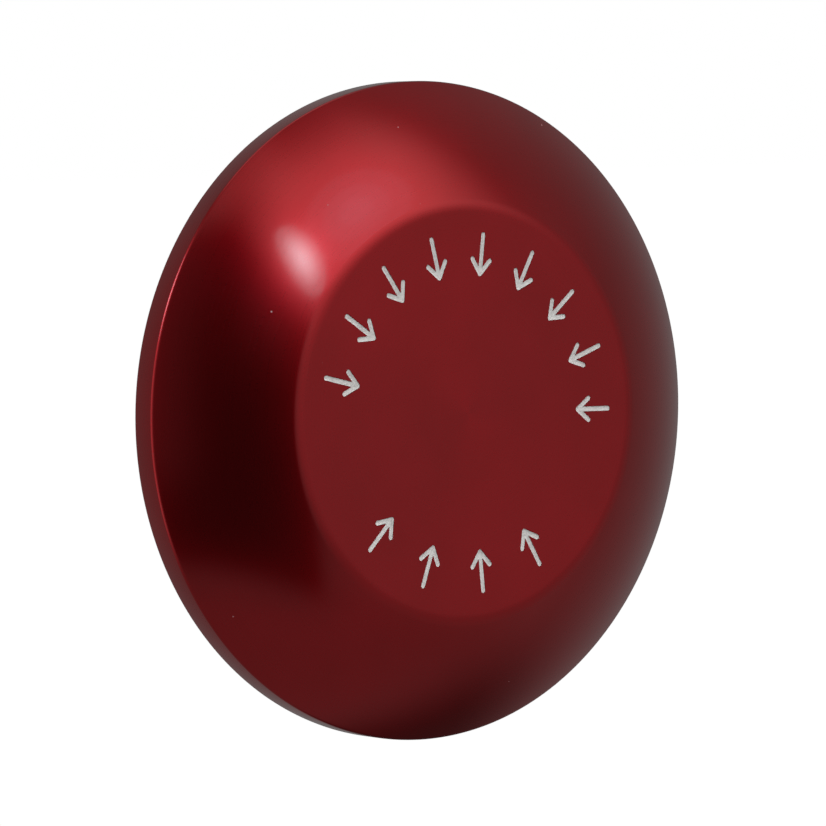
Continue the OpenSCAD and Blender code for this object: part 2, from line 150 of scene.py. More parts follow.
# Bushing. The gaps are left round the seal and the bush, the cage and the spring's seat.
FLANGE_T = 2.5
BARREL_CHAMFER = 0.6
LAND_RUNOUT = 0.1
PRESSED_GAP = 0.02
CAGE_GAP = 0.1
SEAT_GAP = 0.2
NIB_MIN_R = 15.5
NIB_ROOT = 1.5
MODULE_HEAD_R = 2.5
MODULE_HOLE_R = 1.52
MODULE_HOLE_ROOM = 0.4

# Nut and lock washer
NUT_SIDES = 8
NUT_CHAMFER = 30
NUT_FACE_INSET = 0.3
BORE_FLATTENED = 0.8
WASHER_TEETH = 20
WASHER_HALF = 0.32
TOOTH_DEPTH = 1.4
TOOTH_GAP = 1.3
TOOTH_STATIONS = (-0.3, 0.0, 0.35, 0.7, 0.93, 1.0)
TOOTH_TIP_THIN = 0.75


# ---- Reading the frame ----

def drawn_box(node):
    """A CAD node's lowest and highest corners as drawn, in millimetres."""
    low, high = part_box(node)
    return Vector((low.x, low.z, -high.y)) / MM, Vector((high.x, high.z, -low.y)) / MM


def drawn_points(node):
    """Every point of a CAD node as (distance from the axis, z), in millimetres."""
    points = [vertex.co / MM for vertex in frame["nodes"][node].data.vertices]
    return [(math.hypot(p.x, p.z), -p.y) for p in points]


def body_of(node):
    """The body that a CAD node rides on."""
    bodies = frame["record"]["behaviour"]["bodies"]
    return next(body for body, nodes in bodies.items() if node in nodes)


# ---- Node trees ----

class Nodes:
    """A node tree, with short calls for the nodes that the materials and the world share."""

    def __init__(self, tree):
        self.tree = tree

    def feed(self, socket, value):
        if isinstance(value, bpy.types.NodeSocket):
            self.tree.links.new(value, socket)
        else:
            socket.default_value = value

    def node(self, kind, inputs=(), **settings):
        made = self.tree.nodes.new("ShaderNode" + kind)
        for name, value in settings.items():
            setattr(made, name, value)
        for name, value in dict(inputs).items():
            self.feed(made.inputs[name], value)
        return made

    def math(self, operation, a, b=0.0):
        return self.node("Math", {0: a, 1: b}, operation=operation).outputs[0]

    def remap(self, value, low, high, to_low=0.0, to_high=1.0, smooth=False):
        inputs = {"Value": value, "From Min": low, "From Max": high,
                  "To Min": to_low, "To Max": to_high}
        kind = "SMOOTHSTEP" if smooth else "LINEAR"
        return self.node("MapRange", inputs, interpolation_type=kind).outputs["Result"]

    def mix(self, share, a, b):
        return self.node("MixRGB", {"Fac": share, "Color1": a, "Color2": b}).outputs["Color"]

    def vector(self, x, y, z):
        return self.node("CombineXYZ", {"X": x, "Y": y, "Z": z}).outputs["Vector"]

    def noise(self, vector, scale, detail=2.0, roughness=0.5):
        inputs = {"Vector": vector, "Scale": scale, "Detail": detail, "Roughness": roughness}
        return self.node("TexNoise", inputs).outputs["Fac"]


class Shader(Nodes):
    """A material under construction. place is the point on the object, in millimetres."""

    def __init__(self, name):
        self.material = bpy.data.materials.new(name)
        self.material.use_nodes = True
        super().__init__(self.material.node_tree)
        self.surface = self.tree.nodes["Principled BSDF"]
        point = self.node("TexCoord").outputs["Object"]
        self.place = self.node("VectorMath", {0: point, "Scale": 1 / MM},
                               operation="SCALE").outputs["Vector"]
        parts = self.node("SeparateXYZ", {"Vector": self.place}).outputs
        self.x, self.y, self.z = parts["X"], parts["Y"], parts["Z"]
        squares = [self.math("MULTIPLY", part, part) for part in (self.x, self.z)]
        self.radius = self.math("SQRT", self.math("ADD", *squares))
        self.angle = self.math("ARCTAN2", self.z, self.x)

    def set(self, **inputs):
        for name, value in inputs.items():
            self.feed(self.surface.inputs[name.replace("_", " ")], value)

    def bump(self, height, depth, normal=None):
        """A bump of a height from 0 to 1, depth millimetres deep."""
        inputs = {"Height": height, "Distance": depth * MM, "Strength": 1.0}
        if normal is not None:
            inputs["Normal"] = normal
        return self.node("Bump", inputs).outputs["Normal"]

    def shade(self, height, dark, light):
        """A colour that runs from dark to light with a noise value."""
        return self.mix(self.remap(height, 0.3, 0.7), (*dark, 1), (*light, 1))

    def painted_shade(self, clean, shade_colour, reach=1.2):
        """Painted shade: a colour that darkens towards a dark shade colour in recesses, in
        corners and where parts meet, within reach millimetres, found by ambient occlusion.
        """
        hollow = self.node("AmbientOcclusion", {"Distance": reach * MM}, samples=6).outputs["AO"]
        return self.mix(self.remap(hollow, 0.2, 0.85), (*shade_colour, 1), clean)


# ---- Materials, one for each slot of the record ----

def red_anodised():
    """Turned aluminium under a red anodised layer: fine rings, a satin base and a clear top."""
    s = Shader("red_anodised")
    ring = s.vector(s.math("MULTIPLY", s.radius, 7.0), s.math("MULTIPLY", s.y, 7.0),
                    s.math("MULTIPLY", s.angle, 1.2))
    rings = s.noise(ring, 1.0, 3.0, 0.6)
    cloud = s.noise(s.place, 0.12, 3.0)
    grain = s.noise(s.place, 14.0, 1.0)
    cells = s.node("TexVoronoi", {"Vector": s.place, "Scale": 0.42, "Randomness": 1.0})
    chance = s.node("SeparateColor", {"Color": cells.outputs["Color"]}).outputs["Red"]
    size = s.remap(chance, 0.84, 1.0, 0.0, 0.06)
    dust = s.math("LESS_THAN", cells.outputs["Distance"], size)
    red = s.shade(cloud, (0.45, 0.003, 0.007), (0.50, 0.004, 0.010))
    s.set(Base_Color=s.mix(dust, red, (0.30, 0.12, 0.13, 1)),
          Metallic=s.math("SUBTRACT", 1.0, dust),
          Roughness=s.remap(s.math("ADD", rings, grain), 0.6, 1.4, 0.27, 0.287),
          Anisotropic=0.35,
          Anisotropic_Rotation=0.25,
          Tangent=s.node("Tangent", direction_type="RADIAL", axis="Y").outputs["Tangent"],
          Coat_Weight=1.0, Coat_IOR=1.42,
          Coat_Roughness=s.remap(grain, 0.3, 0.7, 0.08, 0.115),
          Normal=s.bump(rings, 0.00012),
          Coat_Normal=s.bump(rings, 0.0001))
    return s.material


def white_paint():
    """Paint wiped into the engraving: off-white, a little chalky, darker in patches where it lies
    thin.
    """
    s = Shader("white_paint")
    chalk = s.noise(s.place, 5.0, 4.0, 0.65)
    thin = s.remap(s.noise(s.place, 1.6, 3.0), 0.52, 0.72)
    paint = s.shade(chalk, (0.41, 0.405, 0.395), (0.53, 0.525, 0.51))
    s.set(Base_Color=s.mix(s.math("MULTIPLY", thin, 0.35), paint, (0.22, 0.20, 0.195, 1)),
          Roughness=s.remap(chalk, 0.3, 0.7, 0.5, 0.75),
          Normal=s.bump(chalk, 0.03))
    return s.material


def plated_zinc():
    """Die-cast zinc under bright plating: slight waves from the casting, clouded gloss."""
    s = Shader("plated_zinc")
    waves = s.noise(s.place, 0.5, 2.0)
    cloud = s.noise(s.place, 0.16, 4.0, 0.6)
    fine = s.noise(s.place, 9.0, 3.0, 0.7)
    plating = s.shade(cloud, (0.50, 0.505, 0.52), (0.66, 0.665, 0.675))
    # Painted shade: the plating darkens in recesses, in corners and where parts meet.
    s.set(Base_Color=s.painted_shade(plating, (0.20, 0.195, 0.19)),
          Metallic=1.0,
          Roughness=s.remap(s.math("ADD", cloud, fine), 0.6, 1.4, 0.20, 0.38),
          Normal=s.bump(fine, 0.004, s.bump(waves, 0.02)))
    return s.material


def turned(name, dark, light, rough, pitch):
    """Metal turned on a lathe about the button's axis: fine grooves that run round it."""
    s = Shader(name)
    ring = s.vector(s.math("MULTIPLY", s.y, pitch), s.math("MULTIPLY", s.radius, pitch),
                    s.math("MULTIPLY", s.angle, 0.8))
    rings = s.noise(ring, 1.0, 3.0, 0.65)
    cloud = s.noise(s.place, 0.35, 3.0)
    # Painted shade: the turned metal darkens in recesses, in corners and where parts meet.
    s.set(Base_Color=s.painted_shade(s.shade(cloud, dark, light), (0.12, 0.115, 0.11), 0.9),
          Metallic=1.0,
          Roughness=s.remap(rings, 0.3, 0.7, rough * 0.8, rough * 1.25),
          Normal=s.bump(rings, 0.004))
    return s.material


def drawn_wire():
    """Spring wire: darkened by its heat treatment, with faint streaks along its length."""
    s = Shader("spring_steel")
    streaks = s.noise(s.vector(s.math("MULTIPLY", s.radius, 12.0), s.math("MULTIPLY", s.y, 4.0),
                               s.math("MULTIPLY", s.angle, 1.5)), 1.0, 3.0, 0.6)
    cloud = s.noise(s.place, 0.4, 2.0)
    s.set(Base_Color=s.shade(cloud, (0.34, 0.335, 0.33), (0.50, 0.495, 0.48)),
          Metallic=1.0,
          Roughness=s.remap(streaks, 0.3, 0.7, 0.24, 0.42),
          Normal=s.bump(streaks, 0.006))
    return s.material


def rolled_strip(name, clean, tarnished, rough):
    """Rolled sheet metal: grain along the strip, with patches of tarnish."""
    s = Shader(name)
    grain = s.noise(s.vector(s.math("MULTIPLY", s.x, 14.0), s.math("MULTIPLY", s.y, 14.0),
                             s.math("MULTIPLY", s.z, 1.2)), 1.0, 3.0, 0.6)
    patch = s.noise(s.place, 0.55, 4.0, 0.6)
    s.set(Base_Color=s.mix(s.remap(patch, 0.42, 0.72), (*clean, 1), (*tarnished, 1)),
          Metallic=1.0,
          Roughness=s.remap(s.math("ADD", grain, patch), 0.6, 1.4, rough * 0.75, rough * 1.4),
          Normal=s.bump(grain, 0.005))
    return s.material


def sintered_bronze():
    """Oil-soaked sintered bronze: brown gold, with open pores."""
    s = Shader("bronze")
    pores = s.node("TexVoronoi", {"Vector": s.place, "Scale": 5.0}).outputs["Distance"]
    open_pore = s.remap(pores, 0.05, 0.3)
    cloud = s.noise(s.place, 0.8, 3.0)
    colour = s.shade(cloud, (0.40, 0.25, 0.11), (0.56, 0.37, 0.17))
    s.set(Base_Color=s.mix(open_pore, (0.10, 0.06, 0.03, 1), colour),
          Metallic=0.9,
          Roughness=s.remap(cloud, 0.3, 0.7, 0.35, 0.5),
          Normal=s.bump(open_pore, 0.02))
    return s.material


def nitrile():
    """Moulded nitrile rubber: near black, matt, with a faint bloom."""
    s = Shader("rubber")
    bloom = s.noise(s.place, 0.3, 4.0, 0.6)
    skin = s.noise(s.place, 7.0, 3.0, 0.7)
    s.set(Base_Color=s.shade(bloom, (0.010, 0.010, 0.011), (0.024, 0.024, 0.025)),
          Roughness=s.remap(skin, 0.3, 0.7, 0.62, 0.85),
          Specular_IOR_Level=0.3,
          Sheen_Weight=0.04,
          Normal=s.bump(skin, 0.012))
    return s.material


def moulding(name, dark, light):
    """Glass-filled moulding: fibre flecks just under a finely textured skin."""
    s = Shader(name)
    fleck = s.noise(s.vector(s.math("MULTIPLY", s.x, 4.0), s.math("MULTIPLY", s.y, 9.0),
                             s.math("MULTIPLY", s.z, 4.0)), 1.0, 4.0, 0.75)
    flow = s.noise(s.place, 0.25, 3.0)
    skin = s.noise(s.place, 10.0, 2.0, 0.6)
    share = s.math("MULTIPLY", s.math("ADD", fleck, flow), 0.5)
    s.set(Base_Color=s.shade(share, dark, light),
          Roughness=s.remap(skin, 0.3, 0.7, 0.38, 0.56),
          Normal=s.bump(skin, 0.010))
    return s.material


def smoked_clear():
    """Smoked clear plastic: light passes through, darker and browner where it is seen edge on."""
    s = Shader("smoked_clear")
    skin = s.noise(s.place, 1.2, 2.0)
    haze = s.noise(s.place, 0.3, 3.0)
    bump = s.bump(skin, 0.006)
    edge = s.node("LayerWeight", {"Blend": 0.35}).outputs["Facing"]
    tint = s.mix(s.remap(edge, 0.0, 0.9), (0.78, 0.74, 0.69, 1), (0.34, 0.30, 0.26, 1))
    body = s.node("BsdfTransparent", {"Color": tint}).outputs["BSDF"]
    cloud = s.node("BsdfDiffuse", {"Color": (0.12, 0.105, 0.09, 1)}).outputs["BSDF"]
    inside = s.node("MixShader", {0: s.remap(haze, 0.3, 0.7, 0.04, 0.12), 1: body, 2: cloud})
    gloss = s.node("BsdfGlossy", {"Color": (1, 1, 1, 1), "Roughness": 0.08, "Normal": bump})
    outside = s.math("SUBTRACT", 1.0, s.node("NewGeometry").outputs["Backfacing"])
    shine = s.math("MULTIPLY", outside,
                   s.node("Fresnel", {"IOR": 1.58, "Normal": bump}).outputs["Fac"])
    whole = s.node("MixShader", {0: shine, 1: inside.outputs[0], 2: gloss.outputs["BSDF"]})
    s.tree.links.new(whole.outputs[0], s.tree.nodes["Material Output"].inputs["Surface"])
    s.tree.nodes.remove(s.surface)
    return s.material


MATERIALS = {
    "red_anodised": red_anodised(),
    "white_paint": white_paint(),
    "plated_zinc": plated_zinc(),
    "steel": turned("steel", (0.46, 0.465, 0.475), (0.62, 0.625, 0.635), 0.28, 9.0),
    "spring_steel": drawn_wire(),
    "bronze": sintered_bronze(),
    "brass": rolled_strip("brass", (0.78, 0.55, 0.22), (0.50, 0.31, 0.12), 0.28),
    "silver": rolled_strip("silver", (0.82, 0.81, 0.78), (0.55, 0.50, 0.42), 0.30),
    "rubber": nitrile(),
    "black_moulding": moulding("black_moulding", (0.020, 0.020, 0.022), (0.050, 0.050, 0.053)),
    "red_moulding": moulding("red_moulding", (0.26, 0.030, 0.018), (0.42, 0.055, 0.034)),
    "smoked_clear": smoked_clear(),
}
SLOT_OF = {part["node"]: part["material_slot"] for part in frame["record"]["subparts"]}


# ---- Mesh building ----

def loft(mesh, rings, start=True, closed=False):
    """Skins rings of equal length. If closed, the last joins the first, or else the last is
    capped, and the first too unless start is off. Returns the rings as vertices."""
    rows = [[mesh.verts.new(point) for point in ring] for ring in rings]
    pairs = list(zip(rows, rows[1:]))
    if closed:
        pairs.append((rows[-1], rows[0]))
    for near, far in pairs:
        for i, corner in enumerate(near):
            j = (i + 1) % len(near)
            mesh.faces.new((corner, near[j], far[j], far[i]))
    if not closed:
        mesh.faces.new(rows[-1])
        if start:
            mesh.faces.new(rows[0])
    return rows


def ring(radius, z, steps=TURNED_STEPS):
    """Points round the axis. radius is a number, or a function of z and the angle in turns."""
    points = []
    for i in range(steps):
        around = i / steps
        out = radius(z, around) if callable(radius) else radius
        points.append(Vector((out * math.cos(math.tau * around),
                              out * math.sin(math.tau * around), z)))
    return points


def bend(before, corner, after, steps=4):
    """Points on a curve that leaves before towards corner and arrives at after."""
    shares = [i / steps for i in range(steps + 1)]
    return [before.lerp(corner, t).lerp(corner.lerp(after, t), t) for t in shares]


def rounded(corners):
    """A closed section with its corners rounded. Each corner is (r, z, size of the rounding)."""
    points = []
    for i, (r, z, size) in enumerate(corners):
        corner = Vector((r, z))
        if not size:
            points.append(corner)
            continue
        before = Vector(corners[i - 1][:2]) - corner
        after = Vector(corners[(i + 1) % len(corners)][:2]) - corner
        points += bend(corner + before.normalized() * size, corner,
                       corner + after.normalized() * size)
    return points


def to_mesh(mesh, name, crease=30):
    """Turns drawn geometry into a mesh in the frame, smooth but for edges sharper than crease."""
    bmesh.ops.recalc_face_normals(mesh, faces=mesh.faces[:])
    data = bpy.data.meshes.new(name)
    mesh.to_mesh(data)
    mesh.free()
    data.transform(DRAWING_TO_FRAME)
    data.shade_smooth()
    data.set_sharp_from_angle(angle=math.radians(crease))
    return data


def add_object(name, data):
    made = bpy.data.objects.new(name, data)
    bpy.context.scene.collection.objects.link(made)
    return made


def combine(base, operation, tools):
    """Adds, cuts or keeps the overlap of closed drawings, by name of the Boolean operation.
    The drawings are used up, and a new one is returned."""
    target = add_object("combine_base", bpy.data.meshes.new("combine_base"))
    base.to_mesh(target.data)
    base.free()
    helpers = []
    for tool in tools:
        helper = add_object("combine_tool", bpy.data.meshes.new("combine_tool"))
        tool.to_mesh(helper.data)
        tool.free()
        helpers.append(helper)
        step = target.modifiers.new("combine", "BOOLEAN")
        step.operation = operation
        step.solver = "EXACT"
        step.object = helper
    graph = bpy.context.evaluated_depsgraph_get()
    result = bmesh.new()
    result.from_mesh(target.evaluated_get(graph).to_mesh())
    for used in [target, *helpers]:
        data = used.data
        bpy.data.objects.remove(used)
        bpy.data.meshes.remove(data)
    bmesh.ops.remove_doubles(result, verts=result.verts[:], dist=0.0005)
    return result


def closed_drawing(rings):
    """A closed drawing from rings, with its faces turned outward."""
    mesh = bmesh.new()
    loft(mesh, rings)
    bmesh.ops.recalc_face_normals(mesh, faces=mesh.faces[:])
    return mesh


def rod(x, radius, z0, z1, steps=48):
    """A closed cylinder parallel to the axis, to the side of it."""
    offset = Vector((x, 0, 0))
    return closed_drawing([[p + offset for p in ring(radius, z, steps)] for z in (z0, z1)])


def block(low, high):
    """A closed box between two corners."""
    xs, ys = (low[0], high[0], high[0], low[0]), (low[1], low[1], high[1], high[1])
    return closed_drawing([[Vector((x, y, z)) for x, y in zip(xs, ys)]
                           for z in (low[2], high[2])])


def as_piece(mesh, name, node, crease=30, rides=True):
    """A finished piece that stands for a CAD node and takes its material slot."""
    slot = SLOT_OF[node]
    data = to_mesh(mesh, name, crease)
    data.materials.append(MATERIALS[slot])
    made = add_object(name, data)
    if rides:
        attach(made, body_of(node))
    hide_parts(node)
    return made


# ---- The mushroom head ----

def head_outline():
    """Half section of the head, from the flat face over the rim to the hole in the boss."""
    low, high = drawn_box("mushroom_head")
    rim_r, z_rim, z_face = high.x, low.z, high.z
    points = drawn_points("mushroom_head")
    face_r = max(r for r, z in points if z > z_face - LEVEL)
    z_shoulder = max(z for r, z in points if r > rim_r - LEVEL)
    across, rise = rim_r - face_r, z_face - z_shoulder
    chord = math.hypot(across, rise)
    half_turn = math.radians(SHOULDER_TURN / 2)
    arc_r = chord / (2 * math.sin(half_turn))
    back = arc_r * math.cos(half_turn) / chord
    centre = Vector(((face_r + rim_r) / 2 - rise * back,
                     (z_face + z_shoulder) / 2 - across * back))

    def on_arc(r, radius):
        return Vector((r, centre.y + math.sqrt(radius ** 2 - (r - centre.x) ** 2)))

    def arc(r0, r1, radius, steps):
        first, last = (math.acos((r - centre.x) / radius) for r in (r0, r1))
        turns = [first + (last - first) * i / steps for i in range(steps + 1)]
        return [centre + radius * Vector((math.cos(t), math.sin(t))) for t in turns]

    blend_end = on_arc(face_r + FACE_BLEND, arc_r)
    slope = (blend_end.x - centre.x) / (blend_end.y - centre.y)
    blend_corner = Vector((blend_end.x - (z_face - blend_end.y) / slope, z_face))
    blend_start = blend_corner - Vector((FACE_BLEND, 0))
    outline = [blend_start - Vector((step, 0)) for step in (0.8, 0.4)]
    outline += bend(blend_start, blend_corner, blend_end, 12)
    outline += arc(blend_end.x, rim_r - RIM_BREAK, arc_r, ARC_STEPS)[1:-1]
    outline += bend(on_arc(rim_r - RIM_BREAK, arc_r), Vector((rim_r, z_shoulder)),
                    Vector((rim_r, z_shoulder - RIM_BREAK)), 6)
    outline += bend(Vector((rim_r, z_rim + LIP_ROUND)), Vector((rim_r, z_rim)),
                    Vector((rim_r - LIP_ROUND, z_rim)))

    recess_r, inner_r, z_roof = rim_r - HEAD_WALL, arc_r - HEAD_WALL, z_face - HEAD_WALL
    roof_r = centre.x + math.sqrt(inner_r ** 2 - (z_roof - centre.y) ** 2)
    outline += bend(Vector((recess_r + LIP_ROUND, z_rim)), Vector((recess_r, z_rim)),
                    Vector((recess_r, z_rim + LIP_ROUND)))
    outline += arc(recess_r, roof_r, inner_r, ARC_STEPS // 3)
    z_boss = drawn_box("head_lock_washer")[1].z
    outline += bend(Vector((BOSS_R + BOSS_ROUND, z_roof)), Vector((BOSS_R, z_roof)),
                    Vector((BOSS_R, z_roof - BOSS_ROUND)), 6)
    outline += bend(Vector((BOSS_R, z_boss + LIP_ROUND)), Vector((BOSS_R, z_boss)),
                    Vector((BOSS_R - LIP_ROUND, z_boss)))
    outline += [Vector((NOSE_R + LIP_ROUND, z_boss)), Vector((NOSE_R, z_boss + LIP_ROUND)),
                Vector((NOSE_R, z_boss + NOSE_HOLE))]
    return outline


def aim(turn):
    """A unit vector that leans turn degrees from straight up towards +x."""
    return Vector((math.sin(math.radians(turn)), math.cos(math.radians(turn))))


def arrow_outline(half):
    """The outline of an arrow that points at the centre, its lines twice half wide."""
    tip = Vector((0, MARK_INNER_R + STROKE / 2))
    shaft = MARK_OUTER_R - MARK_INNER_R - STROKE
    lines = [(BARB_ANGLE, BARB_LEN), (0, shaft), (-BARB_ANGLE, BARB_LEN)]
    outline = []
    for i, (turn, length) in enumerate(lines):
        end = tip + length * aim(turn)
        outline += [end + half * aim(turn + 90 - 180 * k / LINE_END_STEPS)
                    for k in range(LINE_END_STEPS + 1)]
        if i + 1 < len(lines):
            gap = turn - lines[i + 1][0]
            outline.append(tip + aim(turn - gap / 2) * half / math.sin(math.radians(gap / 2)))
    first, last = -BARB_ANGLE - 90, BARB_ANGLE - 270
    outline += [tip + half * aim(first + (last - first) * k / LINE_END_STEPS)
                for k in range(LINE_END_STEPS + 1)]
    return outline


def mark_turns():
    """How far each mark is turned anticlockwise from the top, in degrees."""
    top = [-LEGEND_TURN - (i - (TOP_MARKS - 1) / 2) * TOP_PITCH for i in range(TOP_MARKS)]
    bottom = [180 - LEGEND_TURN - (i - (BOTTOM_MARKS - 1) / 2) * BOTTOM_PITCH
              for i in range(BOTTOM_MARKS)]
    return top + bottom


def mark_ring(turn, half, z):
    """The outline of one mark at height z."""
    spin = Matrix.Rotation(math.radians(turn), 3, "Z")
    return [spin @ Vector((p.x, p.y, z)) for p in arrow_outline(half)]


def make_head():
    """The head, with every mark engraved in its flat face."""
    z_face = drawn_box("mushroom_head")[1].z
    mesh = bmesh.new()
    rings = [ring(p.x, p.y, HEAD_STEPS) for p in head_outline()]
    loops = [loft(mesh, rings, start=False)[0]]
    for turn in mark_turns():
        groove = [mark_ring(turn, STROKE / 2, z) for z in (z_face, z_face - ENGRAVE_DEPTH)]
        loops.append(loft(mesh, groove, start=False)[0])
    edges = [mesh.edges.get((loop[i - 1], loop[i])) for loop in loops for i in range(len(loop))]
    bmesh.ops.triangle_fill(mesh, use_beauty=True, edges=edges)
    as_piece(mesh, "head_shell", "mushroom_head")


def make_legend():
    """The paint in each mark, with its surface sunk towards the middle of each line."""
    z_face = drawn_box("mushroom_head")[1].z
    z_paint = drawn_box("legend_fill")[1].z
    half = STROKE / 2 - PAINT_GAP
    levels = [(half, z_face - ENGRAVE_DEPTH + PAINT_GAP), (half, z_paint),
              (half * 0.75, z_paint - PAINT_SAG / 2), (half * 0.4, z_paint - PAINT_SAG)]
    mesh = bmesh.new()
    for turn in mark_turns():
        loft(mesh, [mark_ring(turn, width, z) for width, z in levels])
    as_piece(mesh, "legend_paint", "legend_fill", crease=50)


# ---- Springs ----

def tube(path, radius, sides):
    """Round wire along a path that stays nearly square to the axis."""
    rings = []
    for i, point in enumerate(path):
        ahead = path[min(i + 1, len(path) - 1)] - path[max(i - 1, 0)]
        side = ahead.cross(Vector((0, 0, 1))).normalized()
        up = side.cross(ahead).normalized()
        rings.append([point + radius * (math.cos(math.tau * k / sides) * side
                                        + math.sin(math.tau * k / sides) * up)
                      for k in range(sides)])
    mesh = bmesh.new()
    loft(mesh, rings)
    return mesh


def coil(node, wire, turns, steps=48, sides=16):
    """A compression spring as long and as wide as its CAD node, its end turns nearly closed."""
    low, high = drawn_box(node)
    centre, radius = (low + high) / 2, (high.x - low.x) / 2 - wire / 2
    closed = wire * CLOSED_PITCH
    pitch = (high.z - low.z - wire - 2 * closed) / (turns - 2)
    path = []
    for i in range(round(turns * steps) + 1):
        turn = i / steps
        rise = (min(turn, 1) * closed + max(0, min(turn, turns - 1) - 1) * pitch
                + max(0, turn - turns + 1) * closed)
        path.append(Vector((centre.x + radius * math.cos(math.tau * turn),
                            centre.y + radius * math.sin(math.tau * turn),
                            low.z + wire / 2 + rise)))
    return tube(path, wire / 2, sides)


def make_return_spring():
    """The return spring, which shortens by the travel as the head goes in."""
    spring = as_piece(coil("return_spring", RETURN_WIRE, RETURN_TURNS), "return_coil",
                      "return_spring")
    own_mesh(spring)


def make_contact_spring(node, name, turns):
    """A contact spring, one end on the carrier and the other on its bridge."""
    spring = as_piece(coil(node, CONTACT_WIRE, turns, 32, 10), name, node, rides=False)
    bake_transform(spring)


def make_detent_spring():
    """The hairpin that grips the shaft: two straight legs and a half circle."""
    low, high = drawn_box("detent_spring")
    wire = DETENT_WIRE / 2
    leg_x, z = high.x - wire, (low.z + high.z) / 2
    bend_y = low.y + wire + leg_x
    leg = high.y - bend_y
    path = [Vector((leg_x, high.y - leg * i / LEG_STEPS, z)) for i in range(LEG_STEPS)]
    for i in range(BEND_STEPS + 1):
        turn = math.pi * i / BEND_STEPS
        path.append(Vector((leg_x * math.cos(turn), bend_y - leg_x * math.sin(turn), z)))
    path += [Vector((-leg_x, bend_y + leg * (i + 1) / LEG_STEPS, z)) for i in range(LEG_STEPS)]
    as_piece(tube(path, wire, 20), "detent_hairpin", "detent_spring")


# ---- Threaded pieces ----

def thread(crest, low, high):
    """The radius of an outside thread, faded out at both ends, as a function for ring()."""
    def radius(z, around):
        depth = THREAD_DEPTH * (0.5 - 0.5 * math.cos(math.tau * (z / THREAD_PITCH - around)))
        fade = min(1.0, max(0.0, (z - low) / THREAD_FADE), max(0.0, (high - z) / THREAD_FADE))
        return crest - depth * fade
    return radius


def thread_heights(low, high):
    """Evenly spaced heights, close enough together to draw the thread."""
    count = math.ceil((high - low) / THREAD_PITCH * THREAD_ROWS)
    return [low + (high - low) * i / count for i in range(count + 1)]


def make_bushing():
    """The bushing, with its thread, its locating nib and the holes for the module screws."""
    low, high = drawn_box("bushing_body")
    points = drawn_points("bushing_body")
    z_land = drawn_box("lock_washer")[1].z
    crest = max(r for r, z in points if z < z_land - 0.5)
    land_r = max(r for r, z in points if z_land - LEVEL < z < -LEVEL and r < NIB_MIN_R)
    flange_low = drawn_box("flange_gasket")[1].z
    flange_top = flange_low + FLANGE_T
    neck_r = max(r for r, z in points if z > high.z - LEVEL)
    seat, seal, bush, cage = (drawn_box(node) for node in (
        "spring_seat_washer", "shaft_seal", "shaft_bush", "detent_cage"))
    seat_r, seal_r = seat[1].x + SEAT_GAP, seal[1].x + PRESSED_GAP
    bush_r, cage_r = bush[1].x + PRESSED_GAP, cage[1].x + CAGE_GAP
    thread_ends = low.z + BARREL_CHAMFER, z_land - LAND_RUNOUT
    section = rounded([
        (land_r, z_land, 0.1), (land_r, 0, 0), (crest, 0, 0), (crest, flange_low, 0),
        (high.x, flange_low, 0.15), (high.x, flange_top, 0.7), (neck_r, flange_top, 0.5),
        (neck_r, high.z, 0.5), (seat_r, high.z, 0.4), (seat_r, seat[0].z, 0.15),
        (seal_r, seat[0].z, 0.15), (seal_r, seal[0].z, 0),
        (bush_r, seal[0].z, 0), (bush_r, bush[0].z, 0.2),
        (cage_r, bush[0].z, 0.15), (cage_r, low.z, 0.2),
        (crest - BARREL_CHAMFER, low.z, 0)])
    profile = thread(crest, *thread_ends)
    rings = [ring(profile, z) for z in thread_heights(*thread_ends)]
    rings += [ring(p.x, p.y) for p in section]
    mesh = bmesh.new()
    loft(mesh, rings, closed=True)
    bmesh.ops.recalc_face_normals(mesh, faces=mesh.faces[:])
    mesh = combine(mesh, "UNION", [nib_block()])
    screws = drawn_box("module_screws")
    screw_x = screws[1].x - MODULE_HEAD_R
    holes = [rod(x, MODULE_HOLE_R, bush[0].z - 1, screws[1].z + MODULE_HOLE_ROOM)
             for x in (-screw_x, screw_x)]
    as_piece(combine(mesh, "DIFFERENCE", holes), "bushing_casting", "bushing_body")


def nib_block():
    """The nib under the flange that stops the bushing turning in its panel."""
    vertices = [vertex.co / MM for vertex in frame["nodes"]["bushing_body"].data.vertices]
    tip = [v for v in vertices if -v.y < -0.5 and v.z > NIB_MIN_R]
    half = max(v.x for v in tip)
    bottom, top = min(v.z for v in tip), max(v.z for v in tip)
    return block((-half, bottom, min(-v.y for v in tip)), (half, top, NIB_ROOT))


